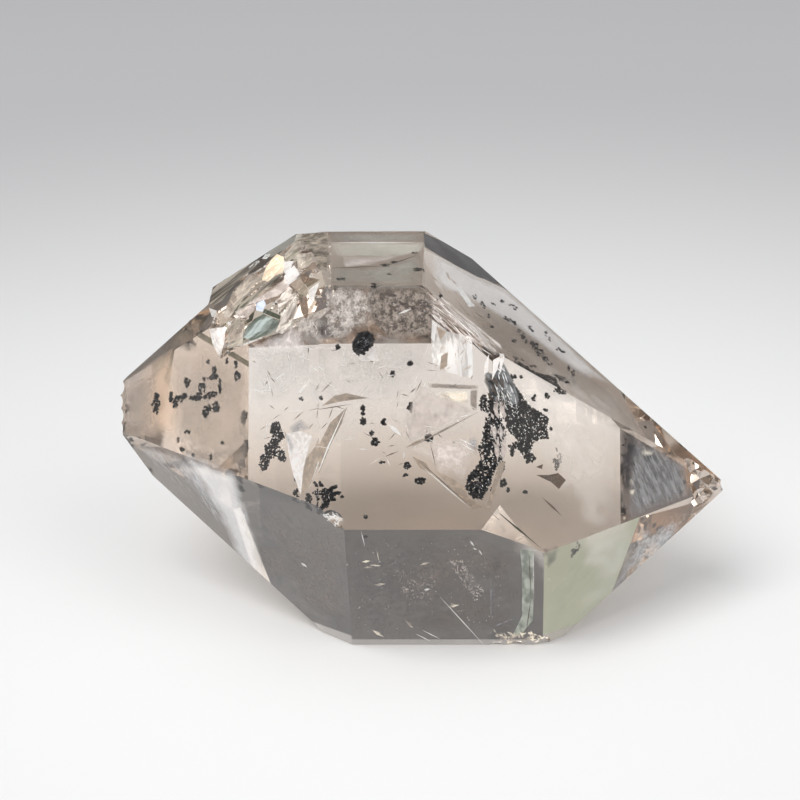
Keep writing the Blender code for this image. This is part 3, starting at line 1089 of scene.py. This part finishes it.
# %% Finishes of the shoulder
bluish = veil("bluish_flake", (0.8, 0.86, 0.95), (0.6, 0.66, 0.76), 0.9, 1.0, glow=0.4)
beige = veil(
    "beige_flake", (0.72, 0.65, 0.57), (0.44, 0.37, 0.31), 0.5, 0.88, cloud=700, grain=2500,
    glow=0.3, lean=112, stretch=3)
peach = veil("peach_flake", (1.0, 0.9, 0.76), (0.93, 0.79, 0.62), 0.8, 1.0, cloud=250, glow=0.5)
pink = veil(
    "pinkish_flake", (0.82, 0.74, 0.7), (0.6, 0.52, 0.48), 0.55, 0.85, cloud=260, grain=1500,
    glow=0.4)
umber = veil("umber_flake", (0.34, 0.23, 0.15), (0.22, 0.15, 0.1), 0.75, 0.95, glow=0.2)
bark = veil(
    "bark_streaks", (0.62, 0.56, 0.48), (0.13, 0.1, 0.07), 0.7, 1.0, cloud=700, grain=1800, glow=0.3,
    lean=-42, stretch=9)
hatch = veil(
    "hatched_streaks", (0.6, 0.52, 0.44), (0.08, 0.06, 0.04), 0.7, 1.0, cloud=900, grain=2000,
    glow=0.25, lean=-35, stretch=4)
fern = veil(
    "fern_streaks", (0.62, 0.68, 0.66), (0.14, 0.17, 0.14), 0.8, 1.0, cloud=900, grain=1800,
    glow=0.3, lean=-50, stretch=10)
splay = veil(
    "splayed_streaks", (0.92, 0.86, 0.8), (0.22, 0.16, 0.12), 0.6, 1.0, cloud=800, grain=1800,
    glow=0.4, lean=108, stretch=10)
rust = veil(
    "rough_brown", (0.52, 0.45, 0.37), (0.12, 0.1, 0.07), 0.5, 0.95, cloud=600, grain=1500,
    glow=0.25)
print("finishes mixed:", len(bpy.data.materials))

# %% [markdown]
# An outline starts as a flat plate as far off as the heart of the crystal, where it is easy to cut
# into small faces. Each of their corners then moves along its line of sight to just under the
# surface. A corner that would miss the stone is nudged to the middle of the plate until it hits.
# The plate is then extruded by a hair, which closes it.

# %% Films under the shoulder
SKIN_DEPTH = 0.15
NUDGES = 10
SKIN_CUTS = 5
SKIN = {
    # finish, outlines in the picture
    "silhouette_band": (bark, [
        [(209, 302), (212, 291), (224, 280), (247, 264), (258, 256), (261, 259), (255, 268),
         (243, 277), (232, 288), (222, 301), (212, 307)]]),
    "smooth_flake": (beige, [
        [(223, 317), (228, 303), (236, 290), (246, 278), (256, 271), (260, 277), (252, 288),
         (243, 300), (236, 309), (230, 318)]]),
    "pale_rim": (pale_sage, [
        [(264, 258), (268, 253), (284, 242), (299, 234), (303, 235), (300, 240), (284, 250),
         (272, 257)]]),
    "rim_glints": (snow, [
        [(248, 268), (258, 260), (260, 262), (250, 269)],
        [(262, 259), (266, 254), (271, 254), (267, 259)]]),
    "peach_flake": (peach, [
        [(262, 280), (266, 268), (272, 259), (277, 254), (284, 257), (285, 266), (283, 273),
         (275, 276), (268, 282)]]),
    "hatched_strip": (hatch, [
        [(239, 308), (252, 297), (262, 290), (272, 281), (280, 275), (282, 277), (275, 285),
         (262, 293), (252, 301), (243, 308)]]),
    "pink_flake": (pink, [
        [(235, 312), (244, 308), (256, 303), (254, 311), (248, 318), (240, 318)],
        [(244, 306), (262, 295), (284, 282), (290, 286), (278, 296), (264, 300)]]),
    "blue_flake": (bluish, [[(256, 311), (257, 303), (264, 300), (266, 304), (263, 312)]]),
    "green_bar": (moss, [[(263, 313), (265, 309), (281, 316), (280, 320), (270, 316)]]),
    "green_flake": (fern, [
        [(244, 338), (246, 328), (255, 320), (263, 314), (270, 317), (280, 321), (277, 328),
         (270, 334), (252, 341)]]),
    "splayed_flake": (splay, [
        [(277, 302), (288, 286), (296, 291), (298, 310), (291, 325), (283, 334), (276, 332),
         (282, 318)]]),
    "brown_corner": (umber, [
        [(300, 275), (320, 280), (308, 288)],
        [(298, 293), (307, 297), (309, 310), (307, 322), (302, 312)]]),
    "tan_corner": (tan, [[(291, 285), (300, 276), (308, 290), (307, 297), (298, 292)]]),
    "white_flakes": (plain_white, [
        [(309, 290), (320, 282), (316, 294), (313, 302), (309, 298)],
        [(284, 276), (294, 265), (300, 274), (291, 284), (284, 283)],
        [(210, 329), (226, 327), (225, 341), (222, 352), (218.7, 355), (213, 344)],
        [(209, 308), (217, 311), (217, 318), (212, 317)],
        [(282, 262), (294, 261), (290, 270), (285, 274)]]),
    "beige_flats": (beige, [
        [(227, 320), (245, 319), (243, 345), (228, 349)],
        [(296, 253), (311, 254), (313, 262), (306, 268), (298, 268)],
        [(298, 239), (306, 243), (302, 252), (288, 262), (284, 257), (292, 246)]]),
    "rough_top": (rust, [
        [(299, 239), (304, 234), (328, 234), (328, 241), (310, 246), (302, 244)],
        [(306, 246), (328, 243), (327, 272), (318, 270), (314, 255)]]),
}


def on_stone(place, middle):
    """The point of the stone seen behind a point, nudged to the middle where it would miss."""
    eye = camera.location
    for share in range(NUDGES):
        aim = place.lerp(middle, share / NUDGES)
        ray = (aim - eye).normalized()
        hit = stone.ray_cast(eye, ray)[0]
        if hit is not None:
            return hit + ray * SKIN_DEPTH * MM
    return middle


def add_skin(shape, outline):
    """Adds a film a hair under the surface that is seen inside an outline of the picture."""
    cover = cover_layer(shape)
    eye = camera.location
    reach = (HEART - eye).length
    places = [eye + line_of_sight(x, y) * reach for x, y in outline]
    middle = sum(places, Vector()) / len(places)
    parts = cut_plate(shape, places, SKIN_CUTS)
    for corner in in_order(corner for part in parts for corner in part.verts):
        corner.co = on_stone(corner.co, middle)
        corner[cover] = 1
    inner = bmesh.ops.extrude_face_region(shape, geom=parts, use_keep_orig=True)["geom"]
    for item in inner:
        if isinstance(item, bmesh.types.BMVert):
            item.co += (item.co - eye).normalized() * FILM_THICKNESS


for name, (finish, outlines) in SKIN.items():
    shape = bmesh.new()
    for outline in outlines:
        add_skin(shape, outline)
    bmesh.ops.recalc_face_normals(shape, faces=shape.faces[:])
    piece("skin_" + name, shape, finish)
print("films under the shoulder:", len(SKIN))

# %% [markdown]
# The finest cracks are slivers, much longer than wide. Some stand alone and are drawn one by
# one: the lines at the ledge and the front corner, the threads and spokes in the cloudy middle,
# and the short dashes that shine on the low front face.

# %% Single slivers
SLIVER_CUTS = 1
SLIVER_RIPPLE = 0.02
SINGLE_SLIVERS = {
    # finish, face, both ends and width in the picture, depth in mm, depth of the far end
    "ledge_light": (snow, LEFT_SLOPE, (238, 347), (264, 337), 1.6, 0.3),
    "ledge_dark": (brown, LEFT_SLOPE, (243, 345), (262, 335), 1.4, 0.4),
    "ledge_line": (brown, LEFT_SLOPE, (225, 352), (236, 348), 1.2, 0.3),
    "corner_dark": (moss, RIGHT_SLOPE, (493, 507), (543, 550), 1.6, 0.2),
    "corner_shadow": (brown, BROAD, (488, 510), (538, 554), 1.4, 0.4, 0.3),
    "plate_edge": (frame_shadow, BROAD, (408, 449), (480, 411), 2.2, 3.0),
    "corner_light": (snow, BROAD, (491, 511), (537, 551), 1.0, 0.4, 0.3),
    "wedge_light": (snow, UPPER_FRONT, (348, 403), (309, 489), 1.6, 0.9),
    "long_thread": (brown, LEFT_SLOPE, (306, 411), (345, 403), 1.0, 2.0),
    "thread_tail": (brown, BROAD, (345, 398), (369, 398), 1.0, 2.0),
    "diagonal_line": (brown, BROAD, (415, 457), (473, 509), 1.2, 2.8, 2.2),
    "diagonal_light": (snow, BROAD, (418, 463), (471, 509), 1.0, 2.8, 2.2),
    "lens": (snow, BROAD, (388, 424), (402, 436), 4.0, 3.0),
    "spoke_left": (tan, BROAD, (405, 448), (426, 438), 3.0, 4.0),
    "spoke_up": (brown, BROAD, (405, 430), (411, 441), 1.2, 4.0),
    "spoke_right": (brown, BROAD, (430, 442), (436, 468), 1.0, 4.0),
    "streak_low": (brown, BROAD, (384, 457), (399, 451), 1.2, 3.0),
    "streak_high": (brown, BROAD, (410, 393), (416, 388), 1.4, 3.0),
    "white_line_one": (snow, BROAD, (458, 438), (474, 446), 1.2, 2.0),
    "white_line_two": (snow, BROAD, (462, 444), (476, 452), 1.4, 2.0),
    "hook": (brown, BROAD, (416, 392), (422, 380), 1.0, 3.0),
    "roof_line": (brown, TOP, (330, 268), (386, 266), 0.9, 0.2),
    "roof_curve": (brown, TOP, (386, 266), (420, 254), 0.8, 0.2),
    "roof_bright_line": (snow, TOP, (326, 242.5), (424, 242.5), 1.2, 0.1),
    "band_squiggle": (snow, BROAD, (398, 314), (411, 309), 2.0, 0.2),
    "low_dash_one": (snow, LOW, (470, 541), (474, 546), 2.0, 0.15),
    "low_dash_two": (snow, LOW, (473, 548), (477, 550), 1.0, 0.15),
    "low_dash_three": (snow, LOW, (479, 550), (482, 555), 1.4, 0.15),
    "low_dash_four": (cream, LOW, (447, 607), (459, 605), 2.6, 0.15),
    "low_dash_five": (cream, LOW, (420, 565), (431, 562), 2.2, 0.15),
    "low_dash_six": (cream, LOW, (374, 585), (385, 584), 2.6, 0.15),
    "low_dash_seven": (cream, LOW, (362, 562), (370, 561), 2.2, 0.15),
    "low_dash_eight": (cream, LOW, (363, 568), (372, 567), 1.8, 0.15),
    "low_dash_nine": (cream, LOW, (405, 620), (413, 628), 3.0, 0.15),
    "low_dash_ten": (snow, LOW_LEFT, (301, 563), (307, 567), 2.0, 0.15),
    "low_dash_eleven": (cream, LOW, (372, 630), (384, 637), 3.2, 0.15),
    "low_dash_twelve": (snow, LOW, (424, 590), (430, 589), 2.0, 0.15),
    "low_hook_down": (cream, LOW, (376, 546), (379, 562), 1.2, 0.15),
    "low_hook_foot": (cream, LOW, (370, 565), (381, 566), 1.4, 0.15),
    "low_blue_scratch": (snow, LOW, (361, 531), (365, 547), 0.8, 0.15),
    "low_scratch": (snow, LOW, (440, 597), (484, 645), 0.9, 0.15),
    "low_scratch_short": (snow, LOW, (422, 630), (440, 639), 0.8, 0.15),
    "low_scratch_left": (snow, LOW, (416, 634), (430, 641), 0.8, 0.15),
    "low_upright": (grey, LOW, (491, 575), (491, 622), 0.8, 0.15),
    "low_curve": (grey, LOW, (476, 634), (520, 616), 0.8, 0.15),
    "strip_line_one": (brown, LOW, (529, 551), (531, 598), 1.2, 0.3),
    "strip_line_two": (brown, LOW, (531, 598), (526, 634), 1.2, 0.3),
    "strip_light": (cloud, LOW, (533, 552), (534, 600), 1.2, 0.3),
    "right_thread": (brown, RIGHT_SLOPE, (542, 497), (562, 516), 2.0, 2.0),
}


def add_sliver(shape, face, start, end, width, deep, far_deep=None):
    """Adds a thin blade between two places of the picture, widest in its middle."""
    far_deep = deep if far_deep is None else far_deep
    (x0, y0), (x1, y1) = start, end
    length = math.hypot(x1 - x0, y1 - y0)
    side_x = -(y1 - y0) / length * width / 2
    side_y = (x1 - x0) / length * width / 2
    x, y = (x0 + x1) / 2, (y0 + y1) / 2
    middle = (deep + far_deep) / 2
    corners = [
        (x0, y0), (x + side_x, y + side_y, middle),
        (x1, y1, far_deep), (x - side_x, y - side_y, middle)]
    add_film(shape, face, corners, deep, 0, SLIVER_CUTS, SLIVER_RIPPLE)


for name, (finish, face, *blade) in SINGLE_SLIVERS.items():
    shape = bmesh.new()
    add_sliver(shape, face, *blade)
    piece("sliver_" + name, shape, finish)
print("single slivers:", len(SINGLE_SLIVERS))

# %% [markdown]
# Most slivers come in families that run side by side, such as the fan below the ridge, because
# one blow opened them together, or lie scattered through the cloudy part. A family is one row
# of numbers and a seed. The tiniest ones glint on the carbon, which they break up into grains.

# %% Families of slivers
FAMILY_SEED = 200
BLADE_SPREAD = (0.6, 1.4)
CLOUDY = [(326, 345), (430, 345), (480, 400), (480, 460), (380, 470), (326, 420)]
CLOUDY_LEFT = [(254, 350), (318, 345), (318, 430), (262, 440), (254, 420)]
COAL = [
    (503, 386), (519, 390), (548, 420), (547, 438), (533, 442), (532, 460), (522, 460), (506, 428)]
RIDGE_FOOT = [(430, 300), (440, 300), (496, 346), (486, 354), (432, 316)]
SLIVER_FAMILIES = {
    # finish, face, number, outline that holds their middles, heading in degrees, spread of the
    # heading, shortest and longest in the picture, width, shallowest and deepest in mm
    "fan_light": (cloud, BROAD, 26, RIDGE_FOOT, 38, 8, 14, 44, 2.2, 0.5, 2.5),
    "fan_white": (snow, BROAD, 12, RIDGE_FOOT, 40, 10, 8, 26, 0.8, 0.5, 1.5),
    "fan_dark": (frame_shadow, BROAD, 14, RIDGE_FOOT, 39, 6, 12, 34, 0.9, 0.5, 2.0),
    "roof_wisps": (
        tan, TOP_RIGHT, 16, [(430, 262), (450, 270), (500, 330), (490, 340), (440, 300)],
        45, 12, 6, 20, 1.2, 0.3, 1.5),
    "plates_hatch": (
        tan, BROAD, 16, [(434, 335), (470, 338), (472, 378), (436, 370)],
        122, 14, 4, 12, 0.8, 0.6, 1.8),
    "cloud_threads": (brown, BROAD, 34, CLOUDY, 20, 60, 3, 14, 0.8, 2, 7),
    "cloud_glints": (snow, BROAD, 46, CLOUDY, 45, 80, 3, 16, 0.9, 2, 7),
    "left_threads": (brown, LEFT_SLOPE, 18, CLOUDY_LEFT, 120, 50, 4, 14, 0.8, 2, 5),
    "left_glints": (snow, LEFT_SLOPE, 26, CLOUDY_LEFT, 120, 60, 4, 16, 1.0, 2, 5),
    "plume_streaks": (
        snow, RIGHT_SLOPE, 26, [(500, 362), (512, 380), (517, 404), (506, 410), (499, 380)],
        62, 12, 3, 11, 0.8, 1.2, 1.9),
    "plume_gaps": (
        brown, BROAD, 16, [(485, 376), (499, 380), (500, 410), (488, 396)],
        55, 8, 5, 14, 1.2, 1.5, 2),
    "ribbon_glints": (
        snow, BROAD, 70, [(486, 384), (498, 384), (499, 462), (488, 494), (468, 494), (480, 460)],
        72, 50, 0.8, 2.6, 0.8, 1.2, 2.2),
    "ribbon_gaps": (
        rose, RIGHT_SLOPE, 26, [(499, 398), (504, 408), (508, 452), (500, 460), (498, 440)],
        78, 14, 6, 16, 3.0, 1.5, 2.5),
    "coal_glints": (snow, RIGHT_SLOPE, 130, COAL, 50, 80, 0.7, 2.2, 0.8, 2.4, 2.9),
    "left_cluster_glints": (
        snow, LEFT_SLOPE, 14, [(262, 444), (280, 422), (285, 460), (262, 468)],
        60, 80, 0.8, 2.4, 0.8, 2.5, 2.9),
    "low_cluster_glints": (
        snow, BROAD, 6, [(319, 486), (336, 486), (334, 502), (322, 508)],
        60, 80, 0.8, 2.4, 0.8, 1.2, 1.6),
    "blob_glints": (
        grey, BROAD, 16, [(353, 346), (366, 332), (372, 342), (358, 353)],
        120, 50, 1.5, 4, 0.8, 0.6, 0.8),
    "band_marks": (
        cloud, BROAD, 30, [(384, 296), (426, 300), (428, 330), (384, 330)],
        10, 60, 1, 4, 0.8, 0.2, 0.4),
    "corner_marks": (
        cloud, BROAD, 30, [(322, 292), (374, 290), (372, 320), (352, 336), (322, 342)],
        110, 40, 2, 9, 0.6, 0.2, 0.5),
    "slope_marks": (
        cloud, LEFT_SLOPE, 12, [(286, 320), (312, 296), (319, 300), (319, 342), (296, 338)],
        100, 40, 2, 9, 0.6, 0.2, 0.5),
    "low_dust": (
        cloud, LOW, 70, [(356, 540), (500, 540), (512, 620), (360, 634)],
        20, 80, 0.6, 2.2, 0.5, 0.1, 0.2),
    "low_pinpoints": (
        cloud, LOW, 70, [(352, 540), (512, 545), (514, 628), (352, 632)],
        20, 80, 0.5, 1.4, 0.7, 0.1, 0.2),
    "low_rash": (
        rose, LOW, 150, [(450, 560), (462, 560), (484, 592), (476, 602), (462, 584)],
        60, 60, 1, 4, 0.7, 0.1, 0.3),
    "low_patch": (
        rose, LOW, 110, [(396, 570), (432, 572), (438, 586), (424, 600), (402, 596)],
        90, 60, 0.8, 3, 0.6, 0.1, 0.3),
    "low_foot_chips": (
        cream, LOW, 60, [(490, 628), (500, 634), (568, 632), (560, 640), (504, 644)],
        10, 40, 3, 9, 2.0, 0.1, 0.4),
    "sparkle": (
        snow, BROAD, 40, [(324, 512), (336, 510), (342, 522), (334, 529), (324, 526)],
        60, 80, 2, 5, 1.4, 0.6, 1.0),
}


def pick_inside(outline, dice):
    """A random place inside an outline."""
    xs, ys = zip(*outline)
    while True:
        x = dice.uniform(min(xs), max(xs))
        y = dice.uniform(min(ys), max(ys))
        if inside(outline, x, y):
            return x, y


for number, (name, row) in enumerate(SLIVER_FAMILIES.items()):
    finish, face, count, outline, lean, spread, short, long, width, shallow, deepest = row
    dice = random.Random(FAMILY_SEED + number)
    shape = bmesh.new()
    for _ in range(count):
        x, y = pick_inside(outline, dice)
        turn = math.radians(dice.gauss(lean, spread))
        reach = dice.uniform(short, long) / 2
        across = math.cos(turn) * reach
        down = math.sin(turn) * reach
        depths = dice.uniform(shallow, deepest), dice.uniform(shallow, deepest)
        blade_width = width * dice.uniform(*BLADE_SPREAD)
        add_sliver(shape, face, (x - across, y - down), (x + across, y + down), blade_width, *depths)
    piece("slivers_" + name, shape, finish)
print("families of slivers:", len(SLIVER_FAMILIES))

# %% [markdown]
# A ray that enters the stone is thrown from face to face before it leaves, and passes many half
# see-through films on its way. With too few bounces the deep parts would turn black, so the
# renderer is allowed more of them than a plain scene needs.

# %% Let light travel
cycles = bpy.context.scene.cycles
cycles.max_bounces = 24
cycles.glossy_bounces = 16
cycles.transmission_bounces = 20
cycles.diffuse_bounces = 3
cycles.transparent_max_bounces = 24
bpy.context.scene.view_settings.view_transform = "Standard"
print("bounces:", cycles.max_bounces)
